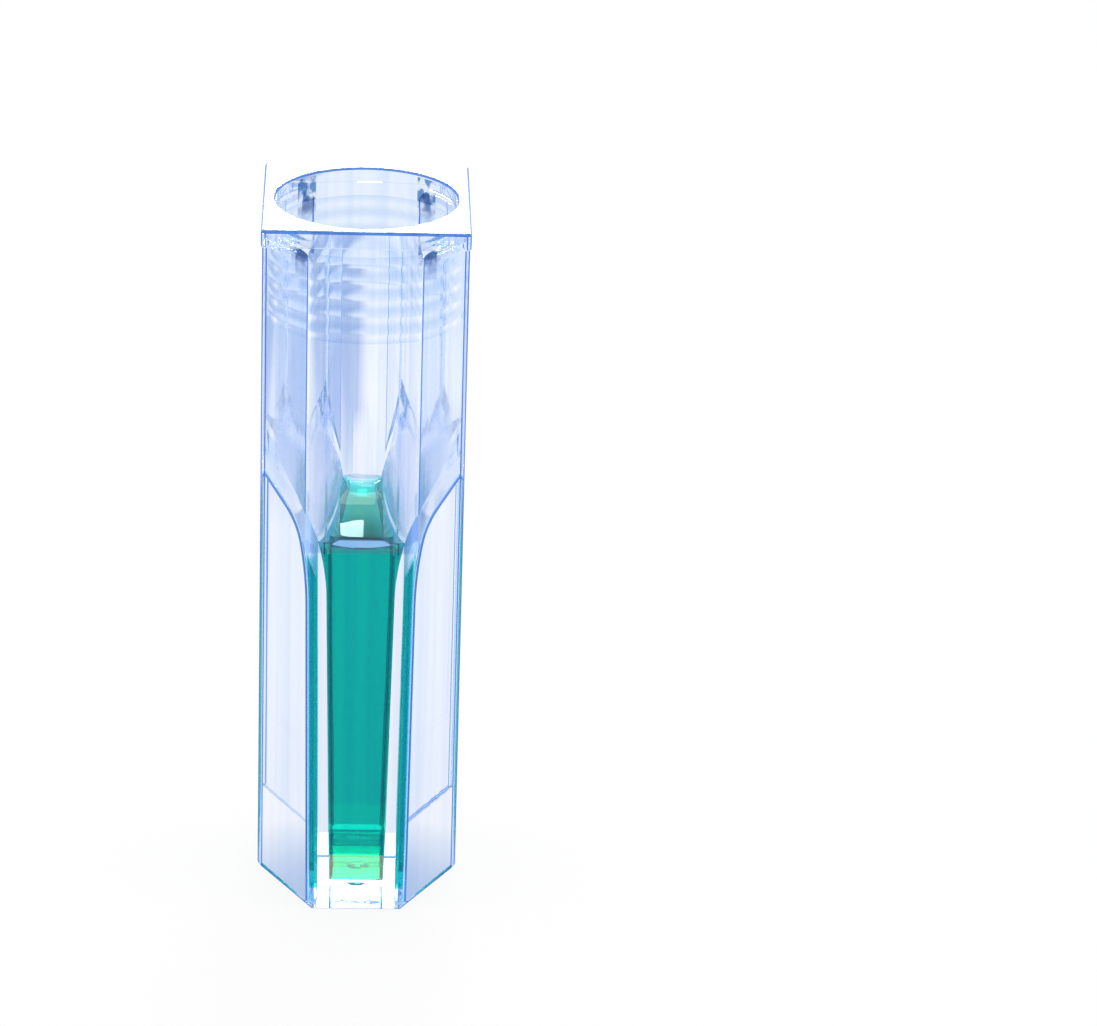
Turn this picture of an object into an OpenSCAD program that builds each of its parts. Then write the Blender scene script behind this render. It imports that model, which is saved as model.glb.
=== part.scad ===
// Semi-micro cuvette with a round mouth.
// One clear moulding: two window plates joined by a narrow sample column, a funnel above it,
// a round mouth between the plates, and a square rim. The sample stands in the column.
// Millimetres. The origin is the middle of the underside, +Z is up, and light crosses along Y.

/* [Rim] */
// Width and depth across the square rim, which a cuvette holder guides
rim_w = 12.5; // [12.3:0.05:12.7]
// Height of the whole cuvette
height = 45; // [43:0.5:48]
// Height of the rim band
rim_t = 1.1; // [0.8:0.1:1.6]
// Radius of the upright corners, seen from above
corner_r = 0.3; // [0.15:0.05:0.5]

/* [Window plates] */
// Width and depth of the body below the rim
body_w = 12.34; // [12.2:0.02:12.4]
// Thickness of each plate where it stands free as a wing
wing_t = 0.9; // [0.7:0.05:1.1]
// Width of the foot left between the two bottom chamfers
foot_w = 5.56; // [5:0.02:6.2]
// Height of the bottom chamfers at the outer edge of the plates
foot_chamfer = 3.18; // [2:0.02:4]

/* [Sample chamber] */
// Light path: the distance between the inner faces of the two windows
light_path = 10; // [9.8:0.05:10.2]
// Width of the chamber at its floor
chamber_w = 3.4; // [3:0.05:3.8]
// Thickness of the floor
floor_t = 1.65; // [1.2:0.05:2.2]
// Mould taper of the chamber's narrow sides, in degrees
chamber_draft = 1.1; // [0.5:0.1:1.5]
// Radius of the floor's inner edges
floor_r = 0.2; // [0.1:0.05:0.4]
// Height at which the flat windows end and the round mouth starts
window_top = 25; // [24:0.1:26]
// Height over which each window leans out to the wall of the mouth
window_lead = 0.4; // [0.3:0.1:1]

/* [Sample column] */
// Width of the column at the underside, over its rows of ribs
column_w = 5.86; // [5.5:0.02:6]
// Mould taper of the column's outer sides, in degrees
column_draft = 0.6; // [0.2:0.1:0.8]
// Height at which the column starts to flare
flare_z = 20.5; // [20:0.1:21]
// Radius of the long gentle start of the flare
flare_start_r = 26; // [24:1:30]
// Lean of the flare where the tight bend starts, in degrees
flare_start_lean = 10; // [8:0.5:12]
// Radius of the tight bend of the flare
flare_bend_r = 7; // [6:0.5:8]
// Lean of the straight shoulder above the bend, in degrees
shoulder_lean = 31.5; // [29:0.5:34]
// Thickness of the shoulder beside the tube, where it is the floor of a corner pocket
shoulder_t = 0.65; // [0.5:0.05:0.9]

/* [Funnel] */
// Height at which the chamber starts to open into the funnel
funnel_z = 21; // [20.8:0.1:21.6]
// Radius of the gentle start of the funnel
funnel_start_r = 14; // [12:1:18]
// Lean of the funnel where its tight bend starts, in degrees
funnel_start_lean = 16; // [14:0.5:18]
// Radius of the tight bend of the funnel
funnel_bend_r = 8.5; // [7:0.5:10]
// Lean of the straight funnel above the bend, in degrees
funnel_lean = 33; // [31.5:0.5:34]
// Mould taper of the round wall beside the funnel, in degrees
funnel_draft = 0.5; // [0.3:0.1:1]

/* [Grip ribs] */
// Number of upright ribs on each side of the column
rib_count = 10; // [6:1:10]
// Distance from one rib to the next
rib_pitch = 1; // [0.9:0.02:1.04]
// Depth of the rounded grooves between the ribs
rib_depth = 0.5; // [0.3:0.05:0.5]
// Radius of the ribs' crests and of the grooves' floors
rib_round = 0.17; // [0.12:0.01:0.2]
// Lean of the ribs' flanks, in degrees
rib_flank = 58; // [45:1:65]
// Height at which the grooves run out, at the ribs' crests
rib_top = 22.9; // [22:0.1:23.4]

/* [Mouth] */
// Diameter of the round mouth
mouth_d = 11; // [10.9:0.02:11.06]
// Outside diameter of the tube round the mouth
tube_d = 12.2; // [12.1:0.02:12.3]
// Chamfer on the edge of the mouth
mouth_chamfer = 0.12; // [0.05:0.01:0.2]
// Radius where the tube runs into the plates
web_r = 0.3; // [0.15:0.05:0.4]
// How far the tube spreads outwards under the rim
cove_out = 0.9; // [0.5:0.1:1.2]
// Height of that spread
cove_h = 1.6; // [1:0.1:2.4]
// Number of shallow rings inside the mouth
ring_count = 5; // [3:1:6]
// Distance from one ring to the next
ring_pitch = 1.1; // [1:0.05:1.2]
// Distance from the top of the cuvette down to the first ring
ring_top = 2.3; // [2:0.1:3]
// Radius of the ring's rounded section
ring_r = 1.5; // [1:0.1:2]
// Depth of each ring in the wall
ring_depth = 0.03; // [0.02:0.01:0.05]

/* [Gate mark] */
// Diameter of the gate recess under the floor
gate_d = 1.2; // [0.8:0.1:2]
// Depth of the gate recess
gate_depth = 0.25; // [0.1:0.05:0.5]

/* [Sample] */
// Height of the sample's surface at its middle
level_z = 24; // [6:0.05:24.4]
// Rise of the surface at the two narrow sides of the chamber
meniscus_h = 0.5; // [0.2:0.05:0.6]

/* [Hidden] */

$fn = 96;
arc_step = 1.5;     // degrees between the points of an arc
past = 1;           // how far a cutting shape runs past what it cuts

mouth_r = mouth_d / 2;
tube_r = tube_d / 2;
body_half = body_w / 2;
plate_in = body_half - wing_t;
rim_z = height - rim_t;

// The flare outside and the funnel inside are each drawn by their lean: the angle between the
// wall and upright, which grows from the mould taper to the straight part's lean. Two arcs
// share a tangent, and curve = [foot, draft, start_r, start_lean, bend_r, end_lean].
function outwards(lean) = [-cos(lean), sin(lean)];
function along(lean) = [sin(lean), cos(lean)];
function column_half(z) = column_w / 2 + z * tan(column_draft);
function chamber_half(z) = chamber_w / 2 + (z - floor_t) * tan(chamber_draft);
flare_curve = [[column_half(flare_z), flare_z], column_draft,
    flare_start_r, flare_start_lean, flare_bend_r, shoulder_lean];
funnel_curve = [[chamber_half(funnel_z), funnel_z], chamber_draft,
    funnel_start_r, funnel_start_lean, funnel_bend_r, funnel_lean];

function start_centre(c) = c[0] - c[2] * outwards(c[1]);
function bend_centre(c) = start_centre(c) + (c[2] - c[4]) * outwards(c[3]);
// A point of curve c where it leans by lean, set inwards by wall
function lean_point(c, lean, wall) = lean <= c[3]
    ? start_centre(c) + (c[2] + wall) * outwards(lean)
    : bend_centre(c) + (c[4] + wall) * outwards(lean);
function arcs(c, wall) = [for (lean = [c[1] : arc_step : c[5]]) lean_point(c, lean, wall)];
// The straight part carries on from the bend until it is x from the middle
function straight_end(c, wall, x) =
    let (from = lean_point(c, c[5], wall))
    from + along(c[5]) * (x - from[0]) / sin(c[5]);
function whole_curve(c, wall, x) =
    concat(arcs(c, wall), [lean_point(c, c[5], wall), straight_end(c, wall, x)]);

funnel_top_z = straight_end(funnel_curve, 0, mouth_r)[1];
funnel_foot_r = mouth_r - (funnel_top_z - floor_t) * tan(funnel_draft);

function mirrored(points) = [for (i = [len(points) - 1 : -1 : 0]) [-points[i][0], points[i][1]]];
// A rounded bottom corner of radius r whose outer corner is at [x, z]
function round_corner(x, z, r) = [for (a = [0 : 15 : 90]) [x - r + r * sin(a), z + r - r * cos(a)]];

// Outlines in X and Z are extruded along Y, and outlines in Y and Z along X
module along_y(depth) rotate([90, 0, 0]) linear_extrude(depth, center = true) children();
module along_x(width) rotate([90, 0, 90]) linear_extrude(width, center = true) children();

module rounded_square(width, r) {
    square([width - 2 * r, width], center = true);
    square([width, width - 2 * r], center = true);
    for (sx = [-1, 1], sy = [-1, 1])
        translate([sx, sy] * (width / 2 - r)) circle(r);
}

// The square bar that the moulding is cut from, with its rim
module bar() {
    linear_extrude(rim_z) rounded_square(body_w, corner_r);
    translate([0, 0, rim_z]) linear_extrude(rim_t) rounded_square(rim_w, corner_r);
}

// The space beside the column, under the shoulder, on the +X side
module side_recess() {
    along_y(2 * plate_in) polygon(concat(
        [[column_half(-past), -past]],
        whole_curve(flare_curve, 0, body_half + past),
        [[body_half + past, -past]]));
}

// The space round the tube, between the plates, on the shoulder and under the rim, on the +X side
module corner_pockets() {
    web_c = [sqrt(pow(tube_r + web_r, 2) - pow(plate_in - web_r, 2)), plate_in - web_r];
    web_foot = [sqrt(tube_r * tube_r - plate_in * plate_in), plate_in];
    difference() {
        intersection() {
            translate([0, 0, flare_z]) linear_extrude(rim_z - flare_z) difference() {
                translate([0, -plate_in]) square([body_half + past, 2 * plate_in]);
                circle(tube_r);
                for (s = [-1, 1]) scale_y(s) difference() {
                    polygon([web_foot * 0.9, web_foot + [0, past], [web_c[0], plate_in + past],
                        web_c, web_c * tube_r / (tube_r + web_r)]);
                    translate(web_c) circle(web_r);
                }
            }
            along_y(body_w) polygon(concat(
                whole_curve(flare_curve, shoulder_t, body_half + 2 * past),
                [[body_half + 2 * past, height + past], [0, height + past], [0, flare_z]]));
        }
        cove();
    }
}

module scale_y(s) if (s < 0) mirror([0, 1]) children(); else children();

// The tube spreads into the underside of the rim
module cove() {
    rotate_extrude() polygon(concat(
        [[tube_r - past / 2, rim_z + past], [tube_r - past / 2, rim_z - cove_h]],
        [for (a = [0 : 10 : 90])
            [tube_r + cove_out * (1 - cos(a)), rim_z - cove_h + cove_h * sin(a)]],
        [[tube_r + cove_out, rim_z + past]]));
}

// One round of the ribs' level section, at its crest or in its groove
function rib_arc(top, side, y) = [for (t = [-rib_flank : rib_flank / 3 : rib_flank])
    [top + side * rib_round * (cos(t) - 1), y + rib_round * sin(t)]];

// The grooves between the upright ribs on the +X side lean with the column and run out at a slope
module grooves() {
    crest = column_w / 2;
    reach = rib_count * rib_pitch / 2;
    intersection() {
        rotate([0, column_draft, 0]) translate([0, 0, -past]) linear_extrude(window_top + past)
            intersection() {
                translate([0, -reach]) square([crest + past, 2 * reach]);
                polygon(concat(
                    [for (i = [0 : rib_count]) each concat(
                        rib_arc(crest - rib_depth, -1, i * rib_pitch - reach),
                        rib_arc(crest, 1, (i + 0.5) * rib_pitch - reach))],
                    [[crest + past, reach + 2 * rib_pitch], [crest + past, -reach - rib_pitch]]));
            }
        along_y(body_w) polygon([[0, -2 * past], [0, rib_top - crest],
            [body_half, rib_top - crest + body_half], [body_half, -2 * past]]);
    }
}

// The slope that the bottom chamfer takes off the plates, on the +X side
module bottom_chamfer() {
    along_y(body_w + 2 * past) polygon([
        [foot_w / 2, 0], [body_half, foot_chamfer],
        [body_half + past, foot_chamfer + past * foot_chamfer / (body_half - foot_w / 2)],
        [body_half + past, -past], [foot_w / 2 - past, -past], [foot_w / 2 - past, 0]]);
}

// Width of the inside: the drafted chamber, then the funnel out to the wall of the mouth
module inside_width() {
    side = concat(
        round_corner(chamber_w / 2, floor_t, floor_r),
        whole_curve(funnel_curve, 0, mouth_r + past),
        [[mouth_r + past, height + past]]);
    along_y(mouth_d + 2 * past) polygon(concat(side, mirrored(side)));
}

// Depth of the inside: the light path between flat windows, then the full depth of the mouth
module inside_depth() {
    side = concat(
        round_corner(light_path / 2, floor_t, floor_r),
        [[light_path / 2, window_top], [mouth_r, window_top + window_lead],
         [mouth_r + past, window_top + window_lead], [mouth_r + past, height + past]]);
    along_x(mouth_d + 2 * past) polygon(concat(side, mirrored(side)));
}

// The core of the mould: a round pin, tapered below the mouth and cut flat on four sides
module inside() {
    intersection() {
        union() {
            translate([0, 0, floor_t])
                cylinder(h = funnel_top_z - floor_t, r1 = funnel_foot_r, r2 = mouth_r);
            translate([0, 0, funnel_top_z])
                cylinder(h = height + past - funnel_top_z, r = mouth_r);
        }
        inside_width();
        inside_depth();
    }
}

module mouth_rings() {
    for (i = [0 : ring_count - 1])
        translate([0, 0, height - ring_top - i * ring_pitch])
            rotate_extrude() translate([mouth_r + ring_depth - ring_r, 0]) circle(ring_r, $fn = 96);
}

module mouth_edge() {
    translate([0, 0, height - mouth_chamfer])
        cylinder(h = mouth_chamfer + past, r1 = mouth_r, r2 = mouth_r + mouth_chamfer + past);
}

module gate_recess() {
    translate([0, 0, -past]) cylinder(h = past + gate_depth, d = gate_d);
}

module cuvette_body() color([0.85, 0.9, 1, 0.35]) difference() {
    bar();
    for (side = [0, 180]) rotate(side) {
        side_recess();
        grooves();
        corner_pockets();
        bottom_chamfer();
    }
    inside();
    mouth_rings();
    mouth_edge();
    gate_recess();
}

// The sample fills the chamber to a hollow surface that climbs the two narrow sides
module sample_liquid() color([0, 0.64, 0.62]) {
    climb_half = lean_point(funnel_curve, funnel_start_lean, 0)[0];
    meniscus_r = (climb_half * climb_half + meniscus_h * meniscus_h) / (2 * meniscus_h);
    difference() {
        intersection() {
            inside();
            cylinder(h = level_z + meniscus_h, r = body_w);
        }
        translate([0, 0, level_z + meniscus_r]) rotate([90, 0, 0])
            cylinder(h = body_w, r = meniscus_r, center = true, $fn = 192);
    }
}

cuvette_body();
sample_liquid();
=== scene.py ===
"""A clear cuvette with a round mouth, part-filled with a green sample, dressed round its CAD frame.

Lengths in the dataclasses are millimetres. Meshes are written in metres.
"""

import logging
import math
from dataclasses import dataclass, field
from enum import Enum
from typing import Any, Callable, Iterable, Sequence, Union

import bmesh
import bpy
from mathutils import Matrix, Vector

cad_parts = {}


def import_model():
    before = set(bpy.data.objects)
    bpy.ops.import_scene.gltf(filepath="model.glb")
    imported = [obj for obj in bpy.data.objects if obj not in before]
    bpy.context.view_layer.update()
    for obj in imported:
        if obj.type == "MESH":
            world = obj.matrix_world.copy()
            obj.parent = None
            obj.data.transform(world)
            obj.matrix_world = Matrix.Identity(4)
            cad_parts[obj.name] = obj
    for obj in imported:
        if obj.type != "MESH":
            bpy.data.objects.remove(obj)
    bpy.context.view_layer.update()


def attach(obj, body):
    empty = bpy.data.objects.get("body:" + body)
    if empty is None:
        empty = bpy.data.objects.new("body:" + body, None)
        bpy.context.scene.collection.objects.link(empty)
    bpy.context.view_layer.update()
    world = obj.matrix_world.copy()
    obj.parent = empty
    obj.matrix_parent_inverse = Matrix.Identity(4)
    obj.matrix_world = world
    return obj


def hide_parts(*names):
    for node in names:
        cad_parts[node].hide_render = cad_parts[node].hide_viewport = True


log = logging.getLogger("cuvette")

Point = tuple[float, float]
Spot = tuple[float, float, float]
Colour = tuple[float, float, float]
Stops = Sequence[tuple[float, Colour]]
Socket = bpy.types.NodeSocket
Value = Union[bpy.types.NodeSocket, float, Sequence[float]]
Test = Callable[[Any], bool]

BODY = "root"
MM = 0.001
# Two points are one within SAME metres, and lie on one line within NEAR metres.
SAME = 1e-7
NEAR = 1e-6
# How far a normal or an edge may be off upright or level, as a part of its length.
SLIGHT = 0.05
# An edge is a corner where its faces turn by more than this.
CORNER = math.radians(60)
# A cutter's far side, in millimetres, which is past the body on every side.
FAR = 9.0
# How often light turns inside the clear pieces, and how bright a highlight may get.
TURNS = 24
BRIGHTEST = 36.0


class Plane(Enum):
    """The plane that an outline is drawn in, as the axes of its two numbers and the third."""

    XY = (0, 1, 2)
    XZ = (0, 2, 1)
    YZ = (1, 2, 0)

    def place(self, a: float, b: float, across: float) -> Vector:
        """Find a point of this plane.

        Args:
            a: The outline's first number, in millimetres.
            b: The outline's second number.
            across: How far the point is set along the third axis.

        Returns:
            The point, in metres.
        """
        spot = Vector((0, 0, 0))
        for axis, value in zip(self.value, (a, b, across)):
            spot[axis] = value
        return spot * MM


class Coat(Enum):
    """The material slots of a piece."""

    FACE = 0
    # Painted dark outlines, with a painted blue glow, on edges and corners.
    EDGE = 1
    WINDOW = 2


class Boolean(Enum):
    """What a tool does to a piece."""

    CUT = "DIFFERENCE"
    ADD = "UNION"
    KEEP = "INTERSECT"


# ---------------------------------------------------------------- modelling by hand


def deselect() -> None:
    """Leave edit mode and deselect every object."""
    if bpy.context.object is not None and bpy.context.object.mode != "OBJECT":
        bpy.ops.object.mode_set(mode="OBJECT")
    bpy.ops.object.select_all(action="DESELECT")


def take(piece: bpy.types.Object) -> None:
    """Make one piece the active and only selected object.

    Args:
        piece: The object to work on.
    """
    deselect()
    piece.select_set(True)
    bpy.context.view_layer.objects.active = piece


def settle(piece: bpy.types.Object) -> bpy.types.Object:
    """Write a piece's place, turn and scale into its mesh.

    Args:
        piece: The object to settle.

    Returns:
        The same object, at the origin.
    """
    take(piece)
    bpy.ops.object.transform_apply(location=True, rotation=True, scale=True)
    return piece


def with_slots(piece: bpy.types.Object, name: str) -> bpy.types.Object:
    """Name a new piece and give it an empty slot for each coat.

    Args:
        piece: The new object.
        name: Its name.

    Returns:
        The same object.
    """
    piece.name = name
    for _ in Coat:
        piece.data.materials.append(None)
    return piece


def edit(piece: bpy.types.Object, mode: str = "EDGE") -> None:
    """Open a piece for editing with nothing selected.

    Args:
        piece: The object to open.
        mode: VERT, EDGE or FACE.
    """
    take(piece)
    bpy.ops.object.mode_set(mode="EDIT")
    bpy.ops.mesh.select_mode(type=mode)
    bpy.ops.mesh.select_all(action="DESELECT")


def pick(piece: bpy.types.Object, kind: str, test: Test) -> int:
    """Select the parts of an open mesh that pass a test.

    Args:
        piece: The object in edit mode.
        kind: verts, edges or faces.
        test: Takes one part and says whether it is wanted.

    Returns:
        How many were selected.
    """
    mesh = bmesh.from_edit_mesh(piece.data)
    wanted = [part for part in getattr(mesh, kind) if test(part)]
    for part in wanted:
        part.select_set(True)
    bmesh.update_edit_mesh(piece.data)
    return len(wanted)


def close(piece: bpy.types.Object) -> bpy.types.Object:
    """Merge doubles, turn the faces outwards and leave edit mode.

    Args:
        piece: The object in edit mode.

    Returns:
        The same object.
    """
    bpy.ops.mesh.select_all(action="SELECT")
    bpy.ops.mesh.remove_doubles(threshold=SAME)
    bpy.ops.mesh.normals_make_consistent(inside=False)
    bpy.ops.object.mode_set(mode="OBJECT")
    return piece


def push(value: Vector) -> None:
    """Extrude what is selected by a distance, in metres."""
    bpy.ops.mesh.extrude_region_move(TRANSFORM_OT_translate={"value": tuple(value)})


def box(name: str, low: Sequence[float], high: Sequence[float]) -> bpy.types.Object:
    """Add a box between two corners.

    Args:
        name: The object's name.
        low: Its lowest corner, in millimetres.
        high: Its highest corner, in millimetres.

    Returns:
        The box, settled.
    """
    deselect()
    middle = (Vector(low) + Vector(high)) / 2 * MM
    bpy.ops.mesh.primitive_cube_add(size=1, location=middle)
    piece = with_slots(bpy.context.object, name)
    piece.scale = (Vector(high) - Vector(low)) * MM
    return settle(piece)


def ribbon(
    name: str, path: Sequence[Point], across: Point, plane: Plane, thickness: Sequence[float]
) -> bpy.types.Object:
    """Draw an outline as a strip, edge by edge, and give the strip its thickness.

    Args:
        name: The object's name.
        path: The outline's points, in millimetres.
        across: Where the strip starts and ends along the plane's third axis.
        plane: The plane of the outline.
        thickness: Which way and how far the strip is thickened, in millimetres.

    Returns:
        The closed solid.
    """
    deselect()
    first, second = (plane.place(*path[i], sum(across) / 2) for i in (0, 1))
    side = plane.place(0, 0, 1).normalized()
    ahead = (second - first).normalized()
    turn = Matrix((side, ahead, side.cross(ahead))).transposed()
    bpy.ops.mesh.primitive_plane_add(size=1, location=(first + second) / 2)
    piece = with_slots(bpy.context.object, name)
    piece.rotation_euler = turn.to_euler()
    piece.scale = ((across[1] - across[0]) * MM, (second - first).length, 1)
    settle(piece)
    edit(piece)
    pick(piece, "edges", lambda e: all(abs((v.co - second) @ ahead) < NEAR for v in e.verts))
    for here, there in zip(path[1:], path[2:]):
        push(plane.place(there[0] - here[0], there[1] - here[1], 0))
    bpy.ops.mesh.select_all(action="SELECT")
    push(Vector(thickness) * MM)
    return close(piece)


def turned(name: str, path: Sequence[Point], steps: int) -> bpy.types.Object:
    """Spin an outline of (radius, height) points about the upright axis.

    Args:
        name: The object's name.
        path: The outline, in millimetres, from pole to pole or closed.
        steps: How many steps make the full turn.

    Returns:
        The closed solid.
    """
    deselect()
    bpy.ops.mesh.primitive_circle_add(vertices=3, radius=MM)
    piece = with_slots(bpy.context.object, name)
    edit(piece, "VERT")
    pick(piece, "verts", lambda v: v.index > 0)
    bpy.ops.mesh.delete(type="VERT")
    bpy.ops.mesh.select_all(action="SELECT")
    start = bmesh.from_edit_mesh(piece.data).verts
    start.ensure_lookup_table()
    bpy.ops.transform.translate(value=Plane.XZ.place(*path[0], 0) - start[0].co)
    for here, there in zip(path, path[1:]):
        push(Plane.XZ.place(there[0] - here[0], there[1] - here[1], 0))
    bpy.ops.mesh.select_all(action="SELECT")
    bpy.ops.mesh.spin(steps=steps, angle=math.tau, center=(0, 0, 0), axis=(0, 0, 1), dupli=False)
    return close(piece)


def copied(piece: bpy.types.Object) -> bpy.types.Object:
    """Copy a piece with its mesh.

    Args:
        piece: The piece to copy.

    Returns:
        The copy, which is selected.
    """
    take(piece)
    bpy.ops.object.duplicate()
    return bpy.context.object


def mirrored(piece: bpy.types.Object, axis: int = 0) -> bpy.types.Object:
    """Copy a piece to the other side.

    Args:
        piece: The piece to copy.
        axis: The axis to turn round: 0 for X, 1 for Y.

    Returns:
        The copy, with its faces outwards.
    """
    other = copied(piece)
    other.scale[axis] = -1
    settle(other)
    bpy.ops.object.mode_set(mode="EDIT")
    return close(other)


def combine(
    piece: bpy.types.Object, tools: Iterable[bpy.types.Object], how: Boolean
) -> bpy.types.Object:
    """Cut, add or keep with one tool after another, and throw the tools away.

    Args:
        piece: The piece that stays.
        tools: The closed solids to use on it.
        how: What each of them does.

    Returns:
        The piece, changed.
    """
    for tool in tools:
        take(piece)
        step = piece.modifiers.new("step", "BOOLEAN")
        step.operation, step.object, step.solver = how.value, tool, "MANIFOLD"
        bpy.ops.object.modifier_apply(modifier=step.name)
        bpy.data.objects.remove(tool)
    return piece


def cut_both(body: bpy.types.Object, tool: bpy.types.Object) -> None:
    """Cut a body with a tool and with its mirrored copy, on the +X and the -X side."""
    combine(body, [tool, mirrored(tool)], Boolean.CUT)


def soften(
    piece: bpy.types.Object, radius: float, segments: int, test: Test, slot: Coat = Coat.EDGE
) -> None:
    """Bevel the edges of a piece that pass a test.

    Args:
        piece: The piece, in object mode.
        radius: The bevel's width, in millimetres.
        segments: How many faces round the bevel.
        test: Takes an edge and says whether it is bevelled.
        slot: The slot that the bevel's faces get.
    """
    edit(piece)
    if pick(piece, "edges", test):
        bpy.ops.mesh.bevel(
            offset=radius * MM,
            segments=segments,
            affect="EDGES",
            material=slot.value,
        )
    close(piece)


def upright(edge: bmesh.types.BMEdge) -> bool:
    """Say whether an edge runs straight up."""
    return abs((edge.verts[0].co - edge.verts[1].co).normalized().z) > 1 - SLIGHT


def level(edge: bmesh.types.BMEdge) -> bool:
    """Say whether an edge lies level between an upright face and a level one."""
    flat = abs((edge.verts[0].co - edge.verts[1].co).z) < SAME
    return flat and edge.calc_face_angle(0) > CORNER


def repaint(piece: bpy.types.Object, slot: Coat, test: Test) -> None:
    """Give the faces that pass a test another slot.

    Args:
        piece: The piece, in object mode.
        slot: The slot they get.
        test: Takes a face and says whether it is repainted.
    """
    edit(piece, "FACE")
    if pick(piece, "faces", test):
        piece.active_material_index = slot.value
        bpy.ops.object.material_slot_assign()
    close(piece)


def polish(
    piece: bpy.types.Object, flat: float = 0.1, crease: float = 28.0, pull: int = 60
) -> bpy.types.Object:
    """Clear flat seams, shade the curves smooth and keep the flats flat.

    Args:
        piece: The finished shape.
        flat: Seams flatter than this many degrees are cleared.
        crease: Edges sharper than this many degrees stay sharp.
        pull: How much more the large faces count in the shading than the small ones.

    Returns:
        The same piece.
    """
    edit(piece)
    bpy.ops.mesh.select_all(action="SELECT")
    bpy.ops.mesh.dissolve_limited(angle_limit=math.radians(flat), delimit={"NORMAL", "MATERIAL"})
    close(piece)
    bpy.ops.object.shade_smooth_by_angle(angle=math.radians(crease))
    even = piece.modifiers.new("even", "WEIGHTED_NORMAL")
    even.keep_sharp, even.weight = True, pull
    bpy.ops.object.modifier_apply(modifier=even.name)
    return piece


def coat(piece: bpy.types.Object, *materials: bpy.types.Material) -> None:
    """Give a piece its materials, one for each slot.

    Args:
        piece: The finished shape.
        materials: The materials of its slots, in order. Later slots take the last one.
    """
    kept = [min(face.material_index, len(materials) - 1) for face in piece.data.polygons]
    piece.data.materials.clear()
    for material in materials:
        piece.data.materials.append(material)
    piece.data.polygons.foreach_set("material_index", kept)


# ---------------------------------------------------------------- outlines


def sweep(start: float, end: float, count: int) -> list[float]:
    """Return even steps from one angle to another, both included."""
    return [start + (end - start) * i / count for i in range(count + 1)]


def oval(middle: Point, across: float, up: float, angles: Iterable[float]) -> list[Point]:
    """Return the points of an oval about a middle at some angles, in radians."""
    return [(middle[0] + across * math.cos(a), middle[1] + up * math.sin(a)) for a in angles]


def hollow_corner(x: float, z: float, r: float, count: int = 6) -> list[Point]:
    """Round the low outer corner of a hollow, which is drawn from below its floor.

    Args:
        x: The corner's distance from the middle.
        z: Its height.
        r: Its radius.
        count: Faces round the corner.

    Returns:
        A point under the floor and the points from the floor to the wall.
    """
    corner = oval((x - r, z + r), r, r, sweep(-math.pi / 2, 0, count))
    return [(corner[0][0], z - 1)] + corner


@dataclass(frozen=True)
class LeaningWall:
    """A wall that leans out from upright in two arcs and then runs straight."""

    foot: Point
    draft: float
    start_r: float
    start_lean: float
    bend_r: float
    end_lean: float
    step: float = 1.0

    def _out(self, lean: float) -> Vector:
        """Return the direction from the arcs' centre to the wall at a lean."""
        return Vector((-math.cos(math.radians(lean)), math.sin(math.radians(lean))))

    def point(self, lean: float, inset: float) -> Vector:
        """Find the wall where it leans by an angle.

        Args:
            lean: Degrees from upright.
            inset: How far the point is set in from the wall.

        Returns:
            The point, as distance from the middle and height.
        """
        start = Vector(self.foot) - self.start_r * self._out(self.draft)
        if lean <= self.start_lean:
            return start + (self.start_r + inset) * self._out(lean)
        bend = start + (self.start_r - self.bend_r) * self._out(self.start_lean)
        return bend + (self.bend_r + inset) * self._out(lean)

    def outline(self, inset: float, reach: float) -> list[Point]:
        """Draw the whole wall.

        Args:
            inset: How far it is set in.
            reach: How far from the middle its straight part ends.

        Returns:
            Its points, from the foot up.
        """
        count = round((self.end_lean - self.draft) / self.step)
        leans = sweep(self.draft, self.end_lean, count)
        points = [tuple(self.point(lean, inset)) for lean in leans]
        last = points[-1]
        rise = (reach - last[0]) / math.tan(math.radians(self.end_lean))
        return points + [(reach, last[1] + rise)]


# ---------------------------------------------------------------- the space inside


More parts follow.
